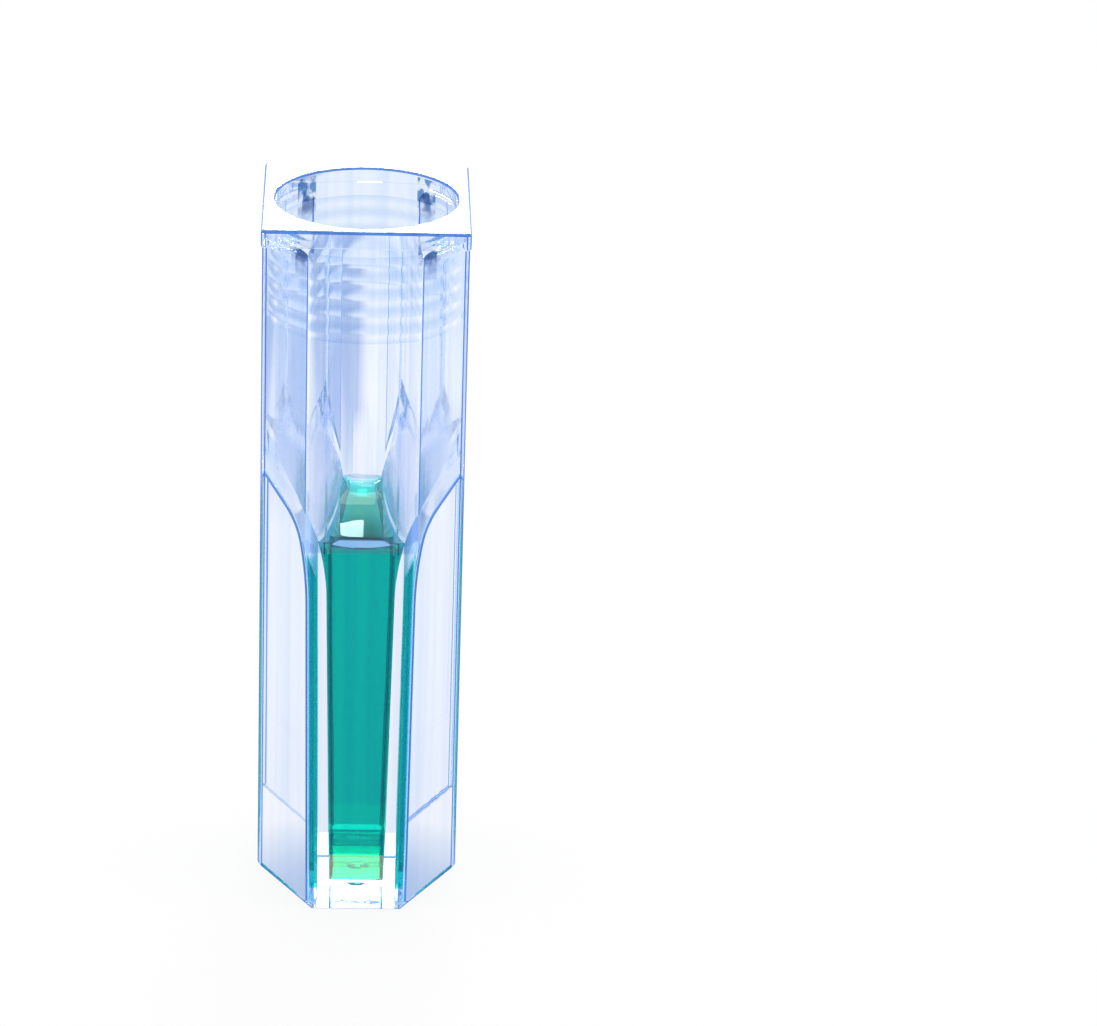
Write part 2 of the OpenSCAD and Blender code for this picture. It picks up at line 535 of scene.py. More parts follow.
@dataclass(frozen=True)
class Core:
    """The mould's core, a round pin cut flat on four sides, which leaves the space inside."""

    height: float = 45.0
    mouth_r: float = 5.5
    mouth_chamfer: float = 0.12
    ring_heights: tuple[float, ...] = (42.7, 41.6, 40.5, 39.4, 38.3)
    ring_depth: float = 0.014
    ring_spread: float = 0.28
    ring_span: Point = (37.0, 43.84)
    ring_step: float = 0.06
    straight_z: float = 36.5
    light_path: float = 10.0
    chamber_w: float = 3.4
    chamber_draft: float = 1.1
    floor_z: float = 1.65
    floor_r: float = 0.2
    funnel_z: float = 21.0
    funnel_draft: float = 0.5
    funnel_r: float = 14.0
    funnel_turn: float = 16.0
    funnel_bend_r: float = 8.5
    funnel_lean: float = 33.0
    window_top: float = 24.3
    window_lead: float = 1.5
    window_slack: float = 0.2
    past: float = 1.0
    mouth_steps: int = 4
    round_steps: int = 192

    def funnel(self) -> LeaningWall:
        """Draw the inner wall of the funnel.

        Returns:
            The wall.
        """
        rise = (self.funnel_z - self.floor_z) * math.tan(math.radians(self.chamber_draft))
        return LeaningWall(
            foot=(self.chamber_w / 2 + rise, self.funnel_z),
            draft=self.chamber_draft,
            start_r=self.funnel_r,
            start_lean=self.funnel_turn,
            bend_r=self.funnel_bend_r,
            end_lean=self.funnel_lean,
        )

    def build(self) -> bpy.types.Object:
        """Model the core.

        Returns:
            The closed core.
        """
        core = self._pin()
        side, window = self._side_flat(), self._window_flat()
        tools = [side, mirrored(side), window, mirrored(window, 1)]
        return combine(core, tools, Boolean.CUT)

    def _pin(self) -> bpy.types.Object:
        """Model the round pin, with its rings, its taper and its wider end at the mouth.

        Returns:
            The closed pin.
        """
        top = self.funnel().outline(0, self.mouth_r)[-1][1]
        foot = self.mouth_r - (top - self.floor_z) * math.tan(math.radians(self.funnel_draft))
        path = [(0, self.floor_z), (foot, self.floor_z), (self.mouth_r, top)]
        path += [(self.mouth_r, self.straight_z)]
        low, high = self.ring_span
        for i in range(round((high - low) / self.ring_step) + 1):
            z = low + i * self.ring_step
            away = ((z - ring) / self.ring_spread for ring in self.ring_heights)
            swell = sum(math.exp(-(part**2)) for part in away)
            path.append((self.mouth_r + self.ring_depth * swell, z))
        wide, rounded = self.mouth_r + self.mouth_chamfer, self.height - self.mouth_chamfer
        quarter = sweep(0, math.pi / 2, self.mouth_steps)
        path += oval((wide, rounded), -self.mouth_chamfer, self.mouth_chamfer, quarter)
        path += [(wide, self.height + self.past), (0, self.height + self.past)]
        pin = turned("core", path, self.round_steps)

        def on_lip(face: bmesh.types.BMFace) -> bool:
            """Say whether a face is on the rounding of the mouth, or above it."""
            return face.calc_center_median().z > rounded * MM and abs(face.normal.z) > SLIGHT

        # The mouth's rounding gets a painted dark outline.
        repaint(pin, Coat.EDGE, on_lip)
        return pin

    def _side_flat(self) -> bpy.types.Object:
        """Model the cutter of the +X flat, which is the chamber's side and the funnel's.

        Returns:
            The closed cutter.
        """
        path = hollow_corner(self.chamber_w / 2, self.floor_z, self.floor_r)
        path += self.funnel().outline(0, self.mouth_r + 2 * self.past)
        return ribbon("flank", path, (-FAR, FAR), Plane.XZ, (FAR, 0, 0))

    def _window_flat(self) -> bpy.types.Object:
        """Model the cutter of the +Y flat, which is a window's inner face and its upper slope.

        Returns:
            The closed cutter.
        """
        half = self.light_path / 2
        path = hollow_corner(half, self.floor_z, self.floor_r) + [(half, self.window_top)]
        path += [(self.mouth_r + self.window_slack, self.window_top + self.window_lead)]
        return ribbon("window", path, (-FAR, FAR), Plane.YZ, (0, FAR, 0))


# ---------------------------------------------------------------- finishes and painted light


class Wiring:
    """A node tree with short ways to add to it."""

    def __init__(self, tree: bpy.types.NodeTree) -> None:
        """Take hold of a tree.

        Args:
            tree: The tree of a material, a world or a group.
        """
        self.nodes, self.links = tree.nodes, tree.links

    def feed(self, socket: Socket, value: Value) -> None:
        """Link a socket to an input, or set the input to a number or a colour.

        Args:
            socket: The input.
            value: What it gets.
        """
        if isinstance(value, Socket):
            self.links.new(value, socket)
        elif socket.type == "RGBA":
            socket.default_value = (*value, 1)
        else:
            socket.default_value = value

    def add(
        self, kind: str, inputs: dict[Union[str, int], Value], **settings: Any
    ) -> bpy.types.Node:
        """Add a node.

        Args:
            kind: Its type, without the ShaderNode in front.
            inputs: What its inputs get, by their name or number.
            settings: Its own settings, which are made first.

        Returns:
            The node.
        """
        node = self.nodes.new("ShaderNode" + kind)
        for name, value in settings.items():
            setattr(node, name, value)
        self.fill(node, inputs)
        return node

    def fill(self, node: bpy.types.Node, inputs: dict[Union[str, int], Value]) -> None:
        """Feed some inputs of a node, by their name or number."""
        for key, value in inputs.items():
            self.feed(node.inputs[key], value)

    def maths(self, operation: str, *values: Value) -> Socket:
        """Return the result of a math operation on sockets and numbers."""
        return self.add("Math", dict(enumerate(values)), operation=operation).outputs[0]

    def share(self, value: Socket, low: float, high: float) -> Socket:
        """Return how far a value is from a low to a high one, from 0 to 1."""
        inputs = {"Value": value, "From Min": low, "From Max": high}
        return self.add("MapRange", inputs).outputs["Result"]

    def row(self, value: Socket, stops: Stops) -> Socket:
        """Run a value through a row of colours.

        Args:
            value: The value, from 0 to 1.
            stops: Each colour's place, from 0 to 1, and the colour, in order.

        Returns:
            The colour's socket.
        """
        node = self.add("ValToRGB", {"Fac": value})
        marks = node.color_ramp.elements
        while len(marks) < len(stops):
            marks.new(0.5)
        for mark, (place, colour) in zip(marks, stops):
            mark.position, mark.color = place, (*colour, 1)
        return node.outputs["Color"]

    def blend(self, plain: Value, other: Value, mask: Value, how: str = "MIX") -> Socket:
        """Put one colour over another by a mask.

        Args:
            plain: The colour below.
            other: The colour above.
            mask: How much of the one above shows.
            how: The kind of mix.

        Returns:
            The mixed colour's socket.
        """
        inputs = {"Factor": mask, 6: plain, 7: other}
        return self.add("Mix", inputs, data_type="RGBA", blend_type=how).outputs[2]

    def over(self, plain: Socket, other: Socket, mask: Socket) -> Socket:
        """Put one shader over another by a mask."""
        return self.add("MixShader", {"Fac": mask, 1: plain, 2: other}).outputs["Shader"]

    def clear_rays(self) -> Socket:
        """Mask what is seen through clear pieces or in their gloss.

        Returns:
            The mask's socket.
        """
        path = self.add("LightPath", {})
        through, gloss = path.outputs["Is Transmission Ray"], path.outputs["Is Glossy Ray"]
        return self.maths("MAXIMUM", through, gloss)


class Place(Wiring):
    """Masks and colours that follow the place on a piece, in millimetres."""

    def __init__(self, tree: bpy.types.NodeTree) -> None:
        """Read the place and its distance from the middle planes.

        Args:
            tree: The tree of a material or of a group.
        """
        super().__init__(tree)
        self.spot = self.add("TexCoord", {}).outputs["Object"]
        inputs = {"Vector": self.spot, "Scale": 1 / MM}
        scaled = self.add("VectorMath", inputs, operation="SCALE").outputs["Vector"]
        off = self.add("VectorMath", {0: scaled}, operation="ABSOLUTE").outputs["Vector"]
        self.at = self.add("SeparateXYZ", {"Vector": scaled}).outputs
        self.off = self.add("SeparateXYZ", {"Vector": off}).outputs

    def front(self, mask: Socket) -> Socket:
        """Keep the part of a mask in front of the middle."""
        return self.maths("MULTIPLY", mask, self.maths("LESS_THAN", self.at["Y"], 0.0))

    def bore(self, radius: float) -> Socket:
        """Mask what is nearer to the upright axis than a radius."""
        x, y = (self.maths("MULTIPLY", self.off[axis], self.off[axis]) for axis in "XY")
        return self.maths("LESS_THAN", self.maths("ADD", x, y), radius**2)

    def mottle(self, scale: float, low: float, high: float) -> Socket:
        """Mask soft uneven spots.

        Args:
            scale: How many there are to a millimetre.
            low: The noise value where a spot starts.
            high: The noise value where it is full.

        Returns:
            The mask's socket.
        """
        noise = self.add("TexNoise", {"Scale": scale / MM, "Vector": self.spot})
        return self.share(noise.outputs["Fac"], low, high)

    def inside(self, middle: Spot, half: Spot) -> Socket:
        """Mask a block on both sides of the X and Y middle planes.

        Args:
            middle: The block's middle, on the +X +Y side.
            half: Half its sizes.

        Returns:
            The mask's socket.
        """
        x, y, z = (
            self.maths("COMPARE", self.off[axis], middle[i], half[i])
            for i, axis in enumerate("XYZ")
        )
        return self.maths("MULTIPLY", self.maths("MULTIPLY", x, y), z)

    def ramp(self, axis: str, low: float, high: float, stops: Stops) -> Socket:
        """Run a row of colours along an axis.

        Args:
            axis: The axis.
            low: Where the row starts.
            high: Where it ends.
            stops: Each colour's place, from 0 to 1, and the colour, in order.

        Returns:
            The colour's socket.
        """
        return self.row(self.share(self.at[axis], low, high), stops)

    def arc(self, middle: Point, half: Point, wide: float) -> Socket:
        """Mask the front half of an oval ring.

        Args:
            middle: The oval's middle.
            half: Its half width and half depth.
            wide: How wide the ring is, as a share of them.

        Returns:
            The mask's socket.
        """
        x, y = (
            self.maths("DIVIDE", self.maths("SUBTRACT", self.at[axis], m), h)
            for axis, m, h in zip("XY", middle, half)
        )
        squares = self.maths("ADD", self.maths("POWER", x, 2.0), self.maths("POWER", y, 2.0))
        ring = self.maths("COMPARE", self.maths("SQRT", squares), 1.0, wide)
        return self.maths("MULTIPLY", ring, self.maths("LESS_THAN", y, 0.0))


def new_material(name: str) -> tuple[bpy.types.Material, bpy.types.Node, bpy.types.Node]:
    """Start a node material.

    Args:
        name: The material's name.

    Returns:
        The material, its Principled shader and its output.
    """
    material = bpy.data.materials.new(name)
    material.use_nodes = True
    nodes = material.node_tree.nodes
    return material, nodes["Principled BSDF"], nodes["Material Output"]


def new_group(
    name: str, takes: dict[str, str], gives: dict[str, str]
) -> tuple[bpy.types.NodeTree, bpy.types.Node, bpy.types.Node]:
    """Start a shader node group.

    Args:
        name: The group's name.
        takes: The kind of each input, Color or Float, by its name.
        gives: The kind of each output, by its name.

    Returns:
        The group, its input node and its output node.
    """
    tree = bpy.data.node_groups.new(name, "ShaderNodeTree")
    for sockets, way in ((takes, "INPUT"), (gives, "OUTPUT")):
        for socket, kind in sockets.items():
            tree.interface.new_socket(socket, in_out=way, socket_type="NodeSocket" + kind)
    return tree, tree.nodes.new("NodeGroupInput"), tree.nodes.new("NodeGroupOutput")


@dataclass(frozen=True)
class MouldMarks:
    """What a polished mould leaves all over: long fine streaks and a faint haze."""

    name: str = "mould_marks"
    streaks: Spot = (1400.0, 1400.0, 18.0)
    streak_detail: float = 2.0
    streak_tones: Point = (0.38, 0.62)
    haze: float = 0.004
    haze_scale: float = 160.0
    haze_detail: float = 1.0

    def group(self) -> bpy.types.NodeTree:
        """Build the group, once.

        Returns:
            A group with Tint, Edge Tint and Roughness in, and Colour, Roughness and Height out.
        """
        if self.name in bpy.data.node_groups:
            return bpy.data.node_groups[self.name]
        tree, start, end = new_group(
            self.name,
            {"Tint": "Color", "Edge Tint": "Color", "Roughness": "Float"},
            {"Colour": "Color", "Roughness": "Float", "Height": "Float"},
        )
        wires = Wiring(tree)
        spot = wires.add("TexCoord", {}).outputs["Object"]
        drawn = wires.add("Mapping", {"Vector": spot, "Scale": self.streaks}).outputs["Vector"]
        inputs = {"Vector": drawn, "Scale": 1.0, "Detail": self.streak_detail}
        lines = wires.add("TexNoise", inputs).outputs["Fac"]
        inputs = {"Vector": spot, "Scale": self.haze_scale, "Detail": self.haze_detail}
        patches = wires.add("TexNoise", inputs).outputs["Fac"]
        mask = wires.share(lines, *self.streak_tones)
        colour = wires.blend(start.outputs["Tint"], start.outputs["Edge Tint"], mask)
        rough = wires.maths("MULTIPLY_ADD", patches, self.haze, start.outputs["Roughness"])
        wires.fill(end, {"Colour": colour, "Roughness": rough, "Height": lines})
        return tree


@dataclass(frozen=True)
class PaintedLightZones:
    """Where light and shade are painted on the moulding: its floor, gate, ribs, corners, window
    top, webs, funnel and rings.
    """

    core: Core
    name: str = "painted_light_zones"
    floor_margin: Spot = (0.05, 0.02, 0.03)
    # Painted light and shade across the chamber's floor, front to back: a yellow tint that colours
    # the lit front part, then painted dark lines and painted highlight bands.
    floor_light_and_shade_bands: Stops = (
        (0.66, (1.0, 1.0, 0.3)),
        (0.68, (0.0, 0.03, 0.04)),
        (0.74, (0.0, 0.12, 0.10)),
        (0.785, (0.0, 0.02, 0.03)),
        (0.83, (0.0, 0.30, 0.27)),
        (0.86, (0.0, 0.22, 0.20)),
        (0.89, (0.0, 0.03, 0.03)),
        (0.93, (0.0, 0.18, 0.17)),
        (1.0, (0.0, 0.22, 0.21)),
    )
    # A painted shade crescent on the chamber's floor, over the gate's shallow dome below it.
    gate_middle: Point = (0.1, -1.6)
    gate_half: Point = (0.56, 1.4)
    gate_wide: float = 0.3
    gate_shade: Colour = (0.0, 0.30, 0.15)
    foot_half: Spot = (1.72, 0.02, 0.9)
    # The sample's green painted on the ribs, a painted refraction of the liquid seen through them.
    ribs_middle: Spot = (2.75, 0.0, 12.95)
    ribs_half: Spot = (0.6, 5.1, 11.85)
    rib_sample_green: Colour = (0.02, 0.66, 0.56)
    # Painted shade in thin lines on the windows' inner faces beside the chamber's upright corners.
    corner_band: Point = (0.17, 0.09)
    corner_z: float = 12.9
    corner_half: Spot = (2.4, 0.1, 11.0)
    corner_shade: Colour = (0.0, 0.2, 0.2)
    # A painted dark arc on the front wall where the window's top slopes in, just above the sample.
    step_shift: Spot = (0.0, 0.2, 0.45)
    step_half: Spot = (2.05, 0.25, 0.4)
    step_shade: Colour = (0.0, 0.14, 0.26)
    # Uneven painted shade on the webs near the rim.
    web_middle: Spot = (3.65, 4.4, 43.2)
    web_half: Spot = (0.55, 1.0, 1.6)
    web_mottle: float = 1.3
    web_tones: Point = (0.38, 0.52)
    web_shade: Colour = (0.02, 0.10, 0.32)
    bore_margin: float = 0.3
    funnel_low: float = 24.2
    funnel_side: float = 1.95
    funnel_fade: Sequence[Point] = ((0.0, 0.0), (0.04, 1.0), (0.6, 1.0), (0.82, 0.3), (1.0, 0.0))
    # Painted lavender shade on the funnel's sides, whose mask also makes them matt.
    funnel_shade: Colour = (0.80, 0.85, 0.97)
    # Painted shade on the bore between its rings, so the rings show lighter.
    ring_shade: Colour = (0.62, 0.74, 0.90)

    def group(self) -> bpy.types.NodeTree:
        """Build the group, once.

        Returns:
            A group with Colour in, and out of it Colour with the zones' painted light and shade
            laid over it, and the masks Funnel and Foot.
        """
        if self.name in bpy.data.node_groups:
            return bpy.data.node_groups[self.name]
        tree, start, end = new_group(
            self.name, {"Colour": "Color"}, {"Colour": "Color", "Funnel": "Float", "Foot": "Float"}
        )
        place, half = Place(tree), self.core.light_path / 2
        funnel = self._funnel(place)
        step = [a + b for a, b in zip((0, half, self.core.window_top), self.step_shift)]
        colour = start.outputs["Colour"]
        # Each zone lays its painted light or shade over the plastic's colour.
        for tint, zone in (
            (self._floor_colours(place), self._floor(place)),
            (self.rib_sample_green, place.inside(self.ribs_middle, self.ribs_half)),
            (self.corner_shade, self._corners(place)),
            (self.step_shade, place.front(place.inside(step, self.step_half))),
            (self.web_shade, self._web_shade_patches(place)),
            (self.funnel_shade, funnel),
            (self.ring_shade, self._between_rings(place)),
        ):
            colour = place.blend(colour, tint, zone)
        foot = place.inside((0, half, self.core.floor_z + self.foot_half[2]), self.foot_half)
        place.fill(end, {"Colour": colour, "Funnel": funnel, "Foot": foot})
        return tree

    def _floor(self, place: Place) -> Socket:
        """Mask the chamber's floor.

        Args:
            place: The place on the piece.

        Returns:
            The mask's socket.
        """
        wide, deep, high = self.floor_margin
        half = (self.core.chamber_w / 2 + wide, self.core.light_path / 2 + deep, high)
        return place.inside((0, 0, self.core.floor_z), half)

    def _floor_colours(self, place: Place) -> Socket:
        """Paint light and shade on the chamber's floor from front to back, with a painted shade
        crescent over the gate.

        Args:
            place: The place on the piece.

        Returns:
            The colour's socket.
        """
        reach = self.core.light_path / 2 + self.floor_margin[1]
        along = place.ramp("Y", -reach, reach, self.floor_light_and_shade_bands)
        mark = place.arc(self.gate_middle, self.gate_half, self.gate_wide)
        return place.blend(along, self.gate_shade, mark)

    def _corners(self, place: Place) -> Socket:
        """Mask the front and back inner faces close to the chamber's upright corners, where shade
        is painted.

        Args:
            place: The place on the piece.

        Returns:
            The mask's socket.
        """
        rise = math.tan(math.radians(self.core.chamber_draft))
        low = self.core.chamber_w / 2 - self.core.floor_z * rise
        wall = place.maths("MULTIPLY_ADD", place.at["Z"], rise, low)
        away = place.maths("SUBTRACT", wall, place.off["X"])
        line = place.maths("COMPARE", away, *self.corner_band)
        inner = place.inside((0, self.core.light_path / 2, self.corner_z), self.corner_half)
        return place.maths("MULTIPLY", line, inner)

    def _web_shade_patches(self, place: Place) -> Socket:
        """Mask uneven patches of painted shade on the webs, which fade out downwards.

        Args:
            place: The place on the piece.

        Returns:
            The mask's socket.
        """
        high = self.web_middle[2]
        low = high - self.web_half[2]
        fade = place.ramp("Z", low, high, ((0.0, (0, 0, 0)), (1.0, (1, 1, 1))))
        spots = place.maths("MULTIPLY", fade, place.mottle(self.web_mottle, *self.web_tones))
        return place.maths("MULTIPLY", place.inside(self.web_middle, self.web_half), spots)

    def _funnel(self, place: Place) -> Socket:
        """Mask the sides of the funnel, which get painted shade and a matt surface.

        Args:
            place: The place on the piece.

        Returns:
            The mask's socket.
        """
        side = place.maths("GREATER_THAN", place.off["X"], self.funnel_side)
        fade = [(at, (part, part, part)) for at, part in self.funnel_fade]
        high = place.ramp("Z", self.funnel_low, self.core.straight_z, fade)
        bore = place.bore(self.core.mouth_r + self.bore_margin)
        return place.maths("MULTIPLY", place.maths("MULTIPLY", side, high), bore)

    def _between_rings(self, place: Place) -> Socket:
        """Mask the bore between its faint rings, where shade is painted.

        Args:
            place: The place on the piece.

        Returns:
            The mask's socket.
        """
        z, heights = place.at["Z"], self.core.ring_heights
        middle = (heights[0] + heights[-1]) / 2
        pitch = (heights[0] - heights[-1]) / (len(heights) - 1)
        away = place.maths("SUBTRACT", z, middle)
        turn = place.maths("MULTIPLY", away, math.tau / pitch)
        wave = place.maths("MULTIPLY_ADD", place.maths("COSINE", turn), -0.5, 0.5)
        near = place.maths("COMPARE", z, middle, pitch * len(heights) / 2)
        bore = place.bore(self.core.mouth_r + self.bore_margin)
        return place.maths("MULTIPLY", place.maths("MULTIPLY", bore, near), wave)


@dataclass(frozen=True)
class ClearPlastic:
    """Polished clear polystyrene, faintly blue, with the mould's fine marks, a faint painted glow
    and painted light and shade from its zones.
    """

    name: str = "clear_polystyrene"
    tint: Colour = (0.99, 0.99, 0.995)
    edge_tint: Colour = (0.86, 0.90, 0.97)
    ior: float = 1.585
    gloss_tint: Colour = (0.70, 0.80, 0.90)
    glow: Colour = (0.001, 0.006, 0.016)
    foot_glow: Colour = (0.22, 0.12, 0.05)
    funnel_matt: float = 0.13
    depth_tint: Colour = (0.55, 0.70, 0.88)
    depth_density: float = 22.0
    streak_height: float = 0.004

    def make(self, zones: PaintedLightZones) -> bpy.types.Material:
        """Build the material.

        Args:
            zones: Where light and shade are painted on the piece.

        Returns:
            The material.
        """
        material, shader, out = new_material(self.name)
        wires = Wiring(material.node_tree)
        inputs = {"Tint": self.tint, "Edge Tint": self.edge_tint, "Roughness": 0.0}
        marks = self._placed(wires, MouldMarks().group(), inputs)
        shown = self._placed(wires, zones.group(), {"Colour": marks["Colour"]})
        inputs = {"Strength": 1.0, "Distance": self.streak_height * MM, "Height": marks["Height"]}
        bump = wires.add("Bump", inputs)
        wires.fill(
            shader,
            {
                "Base Color": shown["Colour"],
                "Roughness": wires.maths(
                    "MULTIPLY_ADD", shown["Funnel"], self.funnel_matt, marks["Roughness"]
                ),
                "Normal": bump.outputs["Normal"],
                "Emission Color": wires.blend(self.glow, self.foot_glow, shown["Foot"]),
                "Emission Strength": 1.0,
                "IOR": self.ior,
                "Specular Tint": self.gloss_tint,
                "Transmission Weight": 1.0,
            },
        )
        inputs = {"Color": self.depth_tint, "Density": self.depth_density}
        wires.feed(out.inputs["Volume"], wires.add("VolumeAbsorption", inputs).outputs["Volume"])
        return material

    def _placed(
        self, wires: Wiring, group: bpy.types.NodeTree, inputs: dict[str, Value]
    ) -> bpy.types.NodeOutputs:
        """Place a group in the material.

        Args:
            wires: The material's tree.
            group: The group.
            inputs: What its inputs get.

        Returns:
            Its outputs.
        """
        node = wires.add("Group", {}, node_tree=group)
        wires.fill(node, inputs)
        return node.outputs


@dataclass(frozen=True)
class GreenSample:
    """A clear green-blue liquid, with painted shade at its front brim and a painted glow on its
    surface.
    """

    name: str = "green_sample"
    ior: float = 1.333
    gloss_tint: Colour = (0.0, 0.35, 0.3)
    depth_tint: Colour = (0.0, 0.957, 0.942)
    depth_density: float = 1900.0
    # A painted dark arc along the front brim.
    brim_middle: Spot = (0.0, 4.65, 24.5)
    brim_half: Spot = (2.3, 0.35, 0.6)
    brim_shade: Colour = (0.0, 0.02, 0.04)
    top_middle: Spot = (0.0, 0.0, 24.6)
    top_half: Spot = (1.5, 4.6, 0.65)
    top_glow: Stops = (
        (0.02, (0.0, 0.0, 0.01)),
        (0.12, (0.0, 0.12, 0.10)),
        (0.45, (0.0, 0.30, 0.22)),
        (0.75, (0.0, 0.26, 0.20)),
        (1.0, (0.0, 0.0, 0.0)),
    )

    def make(self) -> bpy.types.Material:
        """Build the material.

        Returns:
            The material.
        """
        material, shader, out = new_material(self.name)
        place = Place(material.node_tree)
        brim = place.front(place.inside(self.brim_middle, self.brim_half))
        top = place.inside(self.top_middle, self.top_half)
        glow = place.ramp("Y", -self.top_half[1], self.top_half[1], self.top_glow)
        place.fill(
            shader,
            {
                "Base Color": place.blend((1, 1, 1), self.brim_shade, brim),
                "Emission Color": place.blend((0, 0, 0), glow, top),
                "Emission Strength": 1.0,
                "Specular Tint": self.gloss_tint,
                "IOR": self.ior,
                "Roughness": 0.0,
                "Transmission Weight": 1.0,
            },
        )
        inputs = {"Color": self.depth_tint, "Density": self.depth_density}
        place.feed(out.inputs["Volume"], place.add("VolumeAbsorption", inputs).outputs["Volume"])
        return material


# ---------------------------------------------------------------- the moulding


@dataclass
class Moulding:
    """The one-piece clear body: plates, column, ribs, webs, funnel, mouth and rim."""

    core: Core
    rim_w: float = 12.5
    rim_t: float = 1.1
    rim_bite: float = 0.5
    corner_r: float = 0.3
    # Where on a rounded corner, by its faces' normals, the two painted dark lines lie.
    corner_lines: Sequence[Point] = ((0.02, 0.7), (0.97, 0.9995))
    body_w: float = 12.34
    wing_t: float = 0.9
    foot_w: float = 5.56
    foot_chamfer: float = 3.18
    column_w: float = 5.86
    column_draft: float = 0.6
    flare_z: float = 20.5
    flare_r: float = 26.0
    flare_turn: float = 10.0
    flare_bend_r: float = 7.0
    flare_lean: float = 31.5
    shoulder_t: float = 0.65
    shoulder_reach: float = 16.0
    rib_count: int = 10
    rib_pitch: float = 1.0
    rib_depth: float = 0.5
    rib_round: float = 0.17
    rib_flank: float = 58.0
    rib_top: float = 22.9
    rib_slope: float = 2.5
    rib_end: Point = (21.0, 24.2)
    rib_steps: int = 5
    tube_r: float = 6.1
    web_r: float = 0.12
    cove_out: float = 0.9
    cove_h: float = 1.6
    gate_r: float = 0.6
    gate_depth: float = 0.12
    window_half: float = 3.2
    fillet: float = 0.22
    edge: float = 0.1
    top_edge: float = 0.17
    past: float = 1.0
    corner_steps: int = 6
    edge_steps: int = 3
    foot_steps: int = 2
    web_steps: int = 8
    tube_steps: int = 40
    cove_steps: int = 10
    dome_steps: int = 8
    gate_steps: int = 64
    finish: ClearPlastic = field(default_factory=ClearPlastic)
    # Painted dark outlines: a dark blue tint with a painted blue glow, laid on edges and corners.
    painted_edge_shade: ClearPlastic = field(
        default_factory=lambda: ClearPlastic(
            "painted_dark_edge",
            tint=(0.03, 0.07, 0.22),
            edge_tint=(0.02, 0.05, 0.18),
            gloss_tint=(0.10, 0.25, 0.50),
            glow=(0.04, 0.11, 0.30),
        )
    )
    window_finish: ClearPlastic = field(
        default_factory=lambda: ClearPlastic("clear_window", gloss_tint=(0.05, 0.30, 0.55))
    )

    @property
    def rim_z(self) -> float:
        """Height of the rim's underside."""
        return self.core.height - self.rim_t

    @property
    def plate_in(self) -> float:
        """Distance from the middle to the plates' inner faces."""
        return self.body_w / 2 - self.wing_t

    def flare(self) -> LeaningWall:
        """Draw the outer wall of the column and its shoulder.

        Returns:
            The wall.
        """
        half = self.column_w / 2 + self.flare_z * math.tan(math.radians(self.column_draft))
        return LeaningWall(
            foot=(half, self.flare_z),
            draft=self.column_draft,
            start_r=self.flare_r,
            start_lean=self.flare_turn,
            bend_r=self.flare_bend_r,
            end_lean=self.flare_lean,
        )

    def bar(self) -> bpy.types.Object:
        """Model the square bar with its rim, as two boxes rounded by hand.

        Returns:
            The closed bar.
        """
        half, rim = self.body_w / 2, self.rim_w / 2
        bar = box("bar", (-half, -half, 0), (half, half, self.rim_z + self.rim_bite))
        top = box("rim", (-rim, -rim, self.rim_z), (rim, rim, self.core.height))

        def in_line(face: bmesh.types.BMFace) -> bool:
            """Say whether a face of a rounded corner gets one of its two painted dark lines."""
            return any(low < abs(face.normal.y) < high for low, high in self.corner_lines)

        for piece in (bar, top):
            soften(piece, self.corner_r, self.corner_steps, upright, Coat.FACE)
            repaint(piece, Coat.EDGE, in_line)
        middle, steps = (self.rim_z + self.rim_t / 2) * MM, self.edge_steps
        # The rim's top edges get painted dark outlines; its lower edges stay plain.
        soften(top, self.top_edge, steps, lambda e: level(e) and e.verts[0].co.z > middle)
        soften(top, self.edge, steps, lambda e: level(e) and e.verts[0].co.z < middle, Coat.FACE)
        return combine(bar, [top], Boolean.ADD)

    def recess(self) -> bpy.types.Object:
        """Model the space beside the column, on the +X side, with rounded inner corners.

        Returns:
            The closed cutter.
        """
        half, inner = self.body_w / 2, self.plate_in
        low = self.column_w / 2 - self.past * math.tan(math.radians(self.column_draft))
        path = [(low, -self.past)] + self.flare().outline(0, half + self.past)
        piece = ribbon("recess", path, (-inner, inner), Plane.XZ, (2 * half, 0, 0))

        def on_corner(vertex: bmesh.types.BMVert) -> bool:
            """Say whether a point lies where the column's wall meets a plate.

            Args:
                vertex: The point.

            Returns:
                Whether it does.
            """
            x, y, z = vertex.co / MM
            off = min(abs(x - a) + abs(z - b) for a, b in path)
            return abs(abs(y) - inner) < SAME / MM and off < NEAR / MM

        def up_corner(edge: bmesh.types.BMEdge) -> bool:
            """Say whether an edge runs up such a corner."""
            start, end = edge.verts
            return on_corner(start) and on_corner(end) and abs(start.co.y - end.co.y) < SAME

        # The rounded corners where the column meets the plates get painted dark outlines.
        soften(piece, self.fillet, self.corner_steps, up_corner)
        return piece

    def pocket(self) -> bpy.types.Object:
        """Model the space round the tube, between the plates, on the +X side.

        Returns:
            The closed cutter, with the shoulder's sheet below it and the rim's cove above.
        """
        inner, tube, web = self.plate_in, self.tube_r, self.web_r
        middle = (math.sqrt((tube + web) ** 2 - (inner - web) ** 2), inner - web)
        lean = math.atan2(middle[1], middle[0])
        corner = oval(middle, web, web, sweep(math.pi / 2, math.pi + lean, self.web_steps))
        wall = oval((0, 0), tube, tube, sweep(lean, -lean, self.tube_steps)[1:-1])
        path = corner + wall + [(x, -y) for x, y in reversed(corner)]
        piece = ribbon("pocket", path, (self.flare_z, self.rim_z), Plane.XY, (FAR, 0, 0))

        def on_web(face: bmesh.types.BMFace) -> bool:
            """Say whether a face is on the round corner of a web.

            Args:
                face: The face.

            Returns:
                Whether it is.
            """
            x, y, _ = face.calc_center_median() / MM
            near = math.dist((x, abs(y)), middle) < web * (1 + SLIGHT)
            return near and abs(face.normal.z) < SLIGHT

